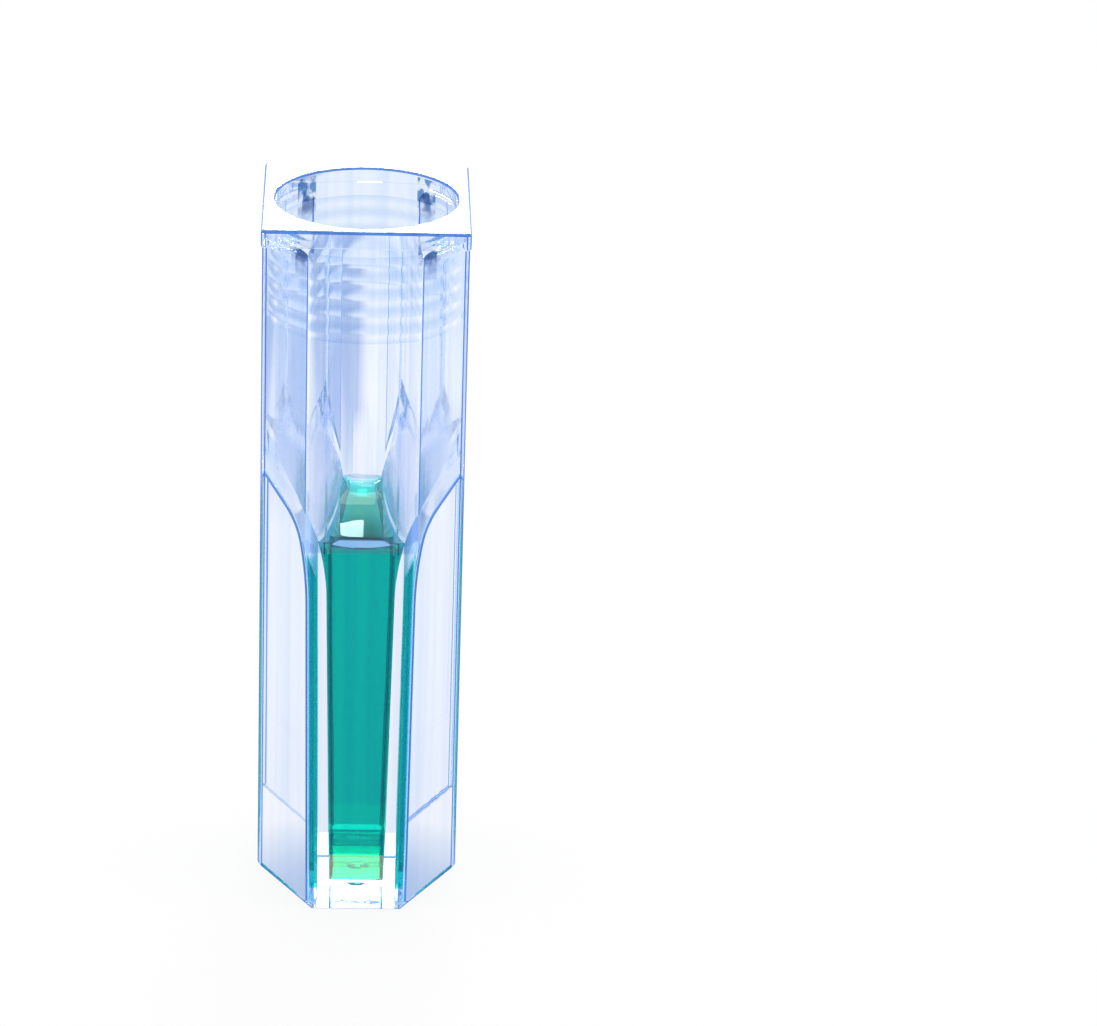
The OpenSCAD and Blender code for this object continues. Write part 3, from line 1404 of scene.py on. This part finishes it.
        # The webs' round corners get painted dark outlines.
        repaint(piece, Coat.EDGE, on_web)
        reach, wide = self.shoulder_reach, inner + self.past
        sheet = self.flare().outline(self.shoulder_t, reach)
        above = ribbon("above_sheet", sheet, (-wide, wide), Plane.XZ, (-2 * reach, 0, 0))
        combine(piece, [above], Boolean.KEEP)
        return combine(piece, [self._cove()], Boolean.CUT)

    def _cove(self) -> bpy.types.Object:
        """Model what fills the pocket's top: the tube's wall, curving out to the rim.

        Returns:
            The closed solid.
        """
        low, wide = self.rim_z - self.cove_h, self.tube_r + self.cove_out
        quarter = sweep(0, math.pi / 2, self.cove_steps)
        curve = oval((wide, low), -self.cove_out, self.cove_h, quarter)
        path = [(0, low)] + curve + [(wide, self.rim_z + self.past), (0, self.rim_z + self.past)]
        return turned("cove", path, self.core.round_steps)

    def _rib_round(self, x: float, side: int, y: float) -> list[Point]:
        """Draw one round of the ribs' level section.

        Args:
            x: How far out it reaches.
            side: 1 at a crest and -1 in a groove.
            y: Its middle.

        Returns:
            Its points.
        """
        lean, r = math.radians(self.rib_flank), self.rib_round
        return oval((x - side * r, y), side * r, r, sweep(-lean, lean, 2 * self.rib_steps))

    def grooves(self) -> bpy.types.Object:
        """Model the grooves between the upright ribs of the +X side.

        Returns:
            The closed cutter, which leans with the column and runs out at a slope.
        """
        crest, reach = self.column_w / 2, self.rib_count * self.rib_pitch / 2
        path = []
        for i in range(self.rib_count + 1):
            path += self._rib_round(crest - self.rib_depth, -1, i * self.rib_pitch - reach)
            path += self._rib_round(crest, 1, (i + 0.5) * self.rib_pitch - reach)
        path = [(x, y) for x, y in path if abs(y) < reach + NEAR]
        span = (-self.past, self.core.window_top)
        cutter = ribbon("grooves", path, span, Plane.XY, (2 * self.past, 0, 0))
        cutter.rotation_euler = (0, math.radians(self.column_draft), 0)
        settle(cutter)
        slope = [(x, self.rib_top + (x - crest) * self.rib_slope) for x in (0, FAR)]
        below = ribbon("below", slope, (-FAR, FAR), Plane.XZ, (0, 0, -self.core.height))
        return combine(cutter, [below], Boolean.KEEP)

    def chamfer(self) -> bpy.types.Object:
        """Model the wedge that the +X bottom chamfer takes off.

        Returns:
            The closed cutter.
        """
        half, foot = self.body_w / 2, self.foot_w / 2
        slope = self.foot_chamfer / (half - foot) * self.past
        path = [(foot - self.past, -slope), (half + self.past, self.foot_chamfer + slope)]
        return ribbon("chamfer", path, (-FAR, FAR), Plane.XZ, (FAR, 0, 0))

    def gate(self) -> bpy.types.Object:
        """Model the shallow round recess in the underside, where the plastic came in.

        Returns:
            The closed cutter.
        """
        quarter = sweep(0, math.pi / 2, self.dome_steps)
        dome = oval((0, 0), self.gate_r, self.gate_depth, quarter)
        below = [(0, -self.past), (self.gate_r, -self.past)]
        return turned("gate", below + dome, self.gate_steps)

    def _round_foot(self, body: bpy.types.Object) -> None:
        """Round the long edges of the bottom chamfers and of the foot.

        Args:
            body: The body.
        """
        half, foot, top = self.body_w / 2, self.foot_w / 2, self.foot_chamfer
        ahead = math.hypot(top, half - foot)

        def on_slope(vertex: bmesh.types.BMVert) -> bool:
            """Say whether a point is on an end of a chamfer.

            Args:
                vertex: The point.

            Returns:
                Whether it is.
            """
            x, y, z = vertex.co / MM
            off = ((abs(x) - foot) * top - z * (half - foot)) / ahead
            return abs(off) < NEAR / MM and abs(abs(y) - half) < SAME / MM

        def at_foot(vertex: bmesh.types.BMVert) -> bool:
            """Say whether a point is on the front or back edge of the foot."""
            return abs(vertex.co.z) < SAME and abs(abs(vertex.co.y) / MM - half) < SAME / MM

        def wanted(edge: bmesh.types.BMEdge) -> bool:
            """Say whether an edge is long and runs along a chamfer's end or the foot."""
            on_one = any(all(test(v) for v in edge.verts) for test in (on_slope, at_foot))
            return on_one and edge.calc_length() > MM

        def back_left(edge: bmesh.types.BMEdge) -> bool:
            """Say whether an edge is behind and on the left, where it shows through the foot."""
            return all(v.co.x < 0 < v.co.y for v in edge.verts)

        # The foot's long edges get painted dark outlines, except those behind on the left, which
        # stay plain.
        steps = self.foot_steps
        soften(body, self.edge, steps, lambda e: wanted(e) and not back_left(e))
        soften(body, self.edge, steps, lambda e: wanted(e) and back_left(e), Coat.FACE)

    def build(self, inside: bpy.types.Object) -> bpy.types.Object:
        """Cut the body from its bar.

        Args:
            inside: The core, which is used up.

        Returns:
            The finished body.
        """
        body = self.bar()
        for tool in (self.recess(), self.grooves(), self.pocket(), self.chamfer()):
            cut_both(body, tool)
        under = box("under", (-FAR, -FAR, -FAR), (FAR, FAR, 0))
        combine(body, [inside, under], Boolean.CUT)
        self._round_foot(body)
        combine(body, [self.gate()], Boolean.CUT)
        body.name = body.data.name = "cuvette_shell"
        self._mark_zones(body)
        return polish(body)

    def _mark_zones(self, body: bpy.types.Object) -> None:
        """Split off the faces in front of, behind and round the sample, and the ribs' ends.

        Args:
            body: The body.
        """
        half, top = self.window_half, self.core.window_top
        for place, normal in (
            ((half, 0, 0), (1, 0, 0)),
            ((-half, 0, 0), (1, 0, 0)),
            ((0, 0, top), (0, 0, 1)),
        ):
            edit(body, "FACE")
            bpy.ops.mesh.select_all(action="SELECT")
            bpy.ops.mesh.bisect(plane_co=Vector(place) * MM, plane_no=normal)
            close(body)

        def on_rib_end(face: bmesh.types.BMFace) -> bool:
            """Say whether a face is one of the slopes that the grooves run out in.

            Args:
                face: The face.

            Returns:
                Whether it is.
            """
            x, z = abs(face.normal.x), face.normal.z
            low, high = self.rib_end
            sloped = abs(z * self.rib_slope + x) < SLIGHT < x
            return sloped and low < face.calc_center_median().z / MM < high

        def by_sample(face: bmesh.types.BMFace) -> bool:
            """Say whether a plain face is in front of, behind or beside the sample."""
            x, _, z = face.calc_center_median() / MM
            return face.material_index == Coat.FACE.value and abs(x) < half and z < top

        # The ribs' run-out slopes get painted dark outlines.
        repaint(body, Coat.EDGE, on_rib_end)
        repaint(body, Coat.WINDOW, by_sample)

    def dress(self, body: bpy.types.Object) -> None:
        """Give the body its finishes, with their painted light and shade, and its place in the
        frame.

        Args:
            body: The finished shape.
        """
        zones = PaintedLightZones(self.core)
        finishes = (self.finish, self.painted_edge_shade, self.window_finish)
        coat(body, *(finish.make(zones) for finish in finishes))
        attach(body, BODY)
        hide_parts("cuvette_body")


@dataclass
class Sample:
    """The liquid in the chamber, with a surface that climbs the walls."""

    core: Core
    level: float = 24.0
    climb: float = 0.5
    side_half: float = 2.6
    window_climb: float = 0.35
    window_reach: float = 0.35
    overlap: float = 0.015
    steepest: float = 0.7
    block: Spot = (7.0, 12.0, 30.0)
    cells: tuple[int, int] = (48, 96)
    finish: GreenSample = field(default_factory=GreenSample)

    def surface(self, x: float, y: float) -> float:
        """Find the height of the surface.

        Args:
            x: The distance from the middle, across.
            y: The distance from the middle, front to back.

        Returns:
            The height.
        """
        across = self.climb * (x / self.side_half) ** 2
        near = math.exp(-max(0.0, self.core.light_path / 2 - abs(y)) / self.window_reach)
        return self.level + across + self.window_climb * near

    def build(self, inside: bpy.types.Object) -> bpy.types.Object:
        """Fill the core up to the surface.

        Args:
            inside: A copy of the core, which becomes the liquid.

        Returns:
            The liquid.
        """
        wide, deep, tall = self.block
        deselect()
        bpy.ops.mesh.primitive_grid_add(
            x_subdivisions=self.cells[0], y_subdivisions=self.cells[1], size=1
        )
        block = bpy.context.object
        block.scale = (wide * MM, deep * MM, 1)
        block.location = (0, 0, tall * MM)
        settle(block)
        edit(block, "FACE")
        bpy.ops.mesh.select_all(action="SELECT")
        push(Vector((0, 0, -tall * MM)))
        close(block)
        for vertex in block.data.vertices:
            if vertex.co.z > tall / 2 * MM:
                vertex.co.z = self.surface(vertex.co.x / MM, vertex.co.y / MM) * MM
        combine(inside, [block], Boolean.KEEP)
        self._wet(inside)
        inside.name = inside.data.name = "sample_column"
        return polish(inside)

    def _wet(self, column: bpy.types.Object) -> None:
        """Swell the liquid's sides and floor a little way into the plastic.

        Args:
            column: The liquid.
        """
        half, steepest = self.level / 2 * MM, self.steepest
        edit(column, "FACE")
        pick(
            column,
            "faces",
            lambda f: f.calc_center_median().z < half or abs(f.normal.z) < steepest,
        )
        bpy.ops.transform.shrink_fatten(value=self.overlap * MM, use_even_offset=True)
        close(column)

    def dress(self, column: bpy.types.Object) -> None:
        """Give the liquid its finish, with its painted shade and glow, and its place in the frame.

        Args:
            column: The finished shape.
        """
        coat(column, self.finish.make())
        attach(column, BODY)
        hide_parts("sample_liquid")


# ---------------------------------------------------------------- the studio


@dataclass(frozen=True)
class Camera:
    """Where the camera stands, from fitting the object's corners."""

    azimuth: float = -2.5
    elevation: float = 22.931
    roll: float = 1.846
    offset: Point = (-11.616, -1.705)
    distance: float = 305.444
    focal_px: float = 4922.645
    image_px: float = 1097.0
    middle_z: float = 22.5
    sensor: float = 36.0
    clip: Point = (10.0, 50000.0)

    def build(self) -> bpy.types.Object:
        """Make the camera and make it the scene's own.

        Returns:
            The camera.
        """
        a, e, r = map(math.radians, (self.azimuth, self.elevation, self.roll))
        back = Vector((math.sin(a) * math.cos(e), -math.cos(a) * math.cos(e), math.sin(e)))
        right = Vector((math.cos(a), math.sin(a), 0))
        up = back.cross(right)
        rolled = right * math.cos(r) + up * math.sin(r)
        rolled_up = up * math.cos(r) - right * math.sin(r)
        place = Vector((0, 0, self.middle_z)) + back * self.distance
        place -= rolled * self.offset[0] + rolled_up * self.offset[1]
        data = bpy.data.cameras.new("camera")
        data.sensor_width = self.sensor
        data.lens = self.sensor * self.focal_px / self.image_px
        data.clip_start, data.clip_end = self.clip[0] * MM, self.clip[1] * MM
        camera = bpy.data.objects.new("camera", data)
        bpy.context.scene.collection.objects.link(camera)
        turn = Matrix((rolled, rolled_up, back)).transposed().to_4x4()
        camera.matrix_world = Matrix.Translation(place * MM) @ turn
        bpy.context.scene.camera = camera
        return camera


@dataclass(frozen=True)
class Lamp:
    """A soft rectangular lamp, as bright as its glow, where 1 is white.

    A lamp that isn't clear shows in gloss only, and not through clear pieces.
    """

    name: str
    place: Spot
    aim: Spot
    size: Point
    glow: float
    clear: bool = True
    colour: Colour = (1, 1, 1)

    def hang(self) -> bpy.types.Object:
        """Make the lamp.

        Returns:
            The lamp.
        """
        wide, high = (length * MM for length in self.size)
        data = bpy.data.lights.new(self.name, "AREA")
        data.shape, data.size, data.size_y = "RECTANGLE", wide, high
        data.energy = self.glow * math.pi * wide * high
        data.color = self.colour
        lamp = bpy.data.objects.new(self.name, data)
        bpy.context.scene.collection.objects.link(lamp)
        lamp.location = Vector(self.place) * MM
        ahead = Vector(self.aim) - Vector(self.place)
        lamp.rotation_euler = ahead.to_track_quat("-Z", "Y").to_euler()
        lamp.visible_transmission = self.clear
        return lamp


@dataclass(frozen=True)
class Studio:
    """A plain pale floor, a pale surround and soft lamps.

    To the camera the floor and the surround are white. Through clear pieces and in their gloss
    they are a blue studio: a painted shadow round the object's foot in rings of tone on the floor,
    painted shade behind it on the left, painted pools of light before and behind its foot, and
    tones that change with height.
    """

    floor_size: float = 4000.0
    floor_drop: float = 0.05
    floor_grey: Colour = (0.9, 0.9, 0.9)
    floor_white: float = 0.9
    # A painted shadow round the object's foot, darkest nearest it, then uneven tones farther out.
    rings: Stops = (
        (3.5, (0.46, 0.57, 0.79)),
        (6.5, (0.62, 0.71, 0.87)),
        (11.0, (0.92, 0.93, 0.97)),
        (30.0, (0.93, 0.94, 0.97)),
        (60.0, (0.96, 0.97, 0.99)),
        (86.0, (1.05, 1.05, 1.06)),
        (100.0, (0.95, 0.97, 1.00)),
        (108.0, (0.84, 0.90, 0.99)),
        (400.0, (0.86, 0.91, 0.99)),
    )
    rings_shift: float = 3.2
    left_reach: Point = (-14.0, 11.0)
    left_span: Point = (55.0, 110.0)
    left_fade: Sequence[Point] = ((0.0, 0.0), (0.35, 1.0), (0.75, 1.0), (0.95, 0.0))
    left_shade: Colour = (0.48, 0.57, 0.78)
    behind_foot: Spot = (0.0, 7.9, 0.0)
    behind_foot_half: Spot = (2.5, 1.75, 1.0)
    behind_foot_light: Colour = (1.9, 1.9, 1.8)
    side_tones: Stops = (
        (0.0, (0.60, 0.69, 0.87)),
        (0.35, (0.80, 0.86, 0.95)),
        (0.9, (0.86, 0.91, 0.97)),
    )
    lamps: tuple[Lamp, ...] = (
        Lamp("high_strip", (6.5, 150, 96.6), (0, 0, 50), (90, 10.5), 6.0, clear=False),
        Lamp("low_strip", (3.5, 150, 74.5), (0, 0, 10), (25, 18), 3.6, colour=(1, 1, 0.68)),
        Lamp("glint", (20, 150, 129.5), (0, 0, 24), (46, 19), 36.0),
    )

    def floor(self) -> bpy.types.Object:
        """Make the floor, which shows white to the camera and keeps the shadow.

        Returns:
            The floor.
        """
        deselect()
        bpy.ops.mesh.primitive_plane_add(
            size=self.floor_size * MM, location=(0, 0, -self.floor_drop * MM)
        )
        floor = settle(bpy.context.object)
        floor.name = "floor"
        material, shader, out = new_material("pale_floor")
        place = Place(material.node_tree)
        place.fill(
            shader,
            {"Base Color": self.floor_grey, "Roughness": 1.0, "Specular IOR Level": 0.0},
        )
        white = place.add("Emission", {}).outputs["Emission"]
        tone = place.add("Emission", {"Color": self._floor_tone(place)}).outputs["Emission"]
        seen = place.add("LightPath", {}).outputs["Is Camera Ray"]
        share = place.maths("MULTIPLY", seen, self.floor_white)
        lit = place.over(shader.outputs["BSDF"], white, share)
        place.feed(out.inputs["Surface"], place.over(lit, tone, place.clear_rays()))
        floor.data.materials.append(material)
        return floor

    def _floor_tone(self, place: Place) -> Socket:
        """Colour the floor as clear pieces show it, with its painted shadow, painted shade and
        painted pools of light.

        Args:
            place: The place on the floor.

        Returns:
            The colour's socket.
        """
        reach = self.rings[-1][0]
        moved = place.add("VectorMath", {0: place.spot, 1: (0, self.rings_shift * MM, 0)})
        inputs = {0: moved.outputs["Vector"]}
        far = place.add("VectorMath", inputs, operation="LENGTH").outputs["Value"]
        part = place.maths("DIVIDE", far, reach * MM)
        rings = place.row(part, [(r / reach, colour) for r, colour in self.rings])
        # A painted pool of light before and behind the foot.
        patch = place.inside(self.behind_foot, self.behind_foot_half)
        colour = place.blend(rings, self.behind_foot_light, patch)
        left = place.ramp("X", *self.left_reach, ((0.0, (1, 1, 1)), (1.0, (0, 0, 0))))
        fade = [(at, (share, share, share)) for at, share in self.left_fade]
        shaded = place.maths("MULTIPLY", left, place.ramp("Y", *self.left_span, fade))
        shade = place.blend((1, 1, 1), self.left_shade, shaded)
        return place.blend(colour, shade, 1.0, "MULTIPLY")

    def surround(self) -> None:
        """Make the world: white, with a blue studio seen in glass and gloss."""
        world = bpy.data.worlds.new("surround")
        bpy.context.scene.world = world
        world.use_nodes = True
        wires = Wiring(world.node_tree)
        where = wires.add("TexCoord", {}).outputs["Generated"]
        height = wires.add("SeparateXYZ", {"Vector": where}).outputs["Z"]
        tone = wires.blend((1, 1, 1), wires.row(height, self.side_tones), wires.clear_rays())
        wires.fill(wires.nodes["Background"], {"Color": tone, "Strength": 1.0})

    def build(self) -> None:
        """Make the floor, the surround and the lamps."""
        self.floor()
        self.surround()
        for lamp in self.lamps:
            lamp.hang()


def main() -> None:
    """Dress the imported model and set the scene."""
    logging.basicConfig(level=logging.INFO, format="%(name)s: %(message)s")
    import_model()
    bpy.context.scene.view_settings.view_transform = "Standard"
    cycles = bpy.context.scene.cycles
    cycles.max_bounces = cycles.glossy_bounces = cycles.transmission_bounces = TURNS
    cycles.sample_clamp_indirect = BRIGHTEST
    Camera().build()
    core = Core()
    moulding, sample = Moulding(core), Sample(core)
    inside = core.build()
    filling = copied(inside)
    body, column = moulding.build(inside), sample.build(filling)
    moulding.dress(body)
    sample.dress(column)
    for piece in (body, column):
        piece.data.calc_loop_triangles()
        log.info("%s: %d triangles", piece.name, len(piece.data.loop_triangles))
    Studio().build()


if __name__ == "__main__":
    main()
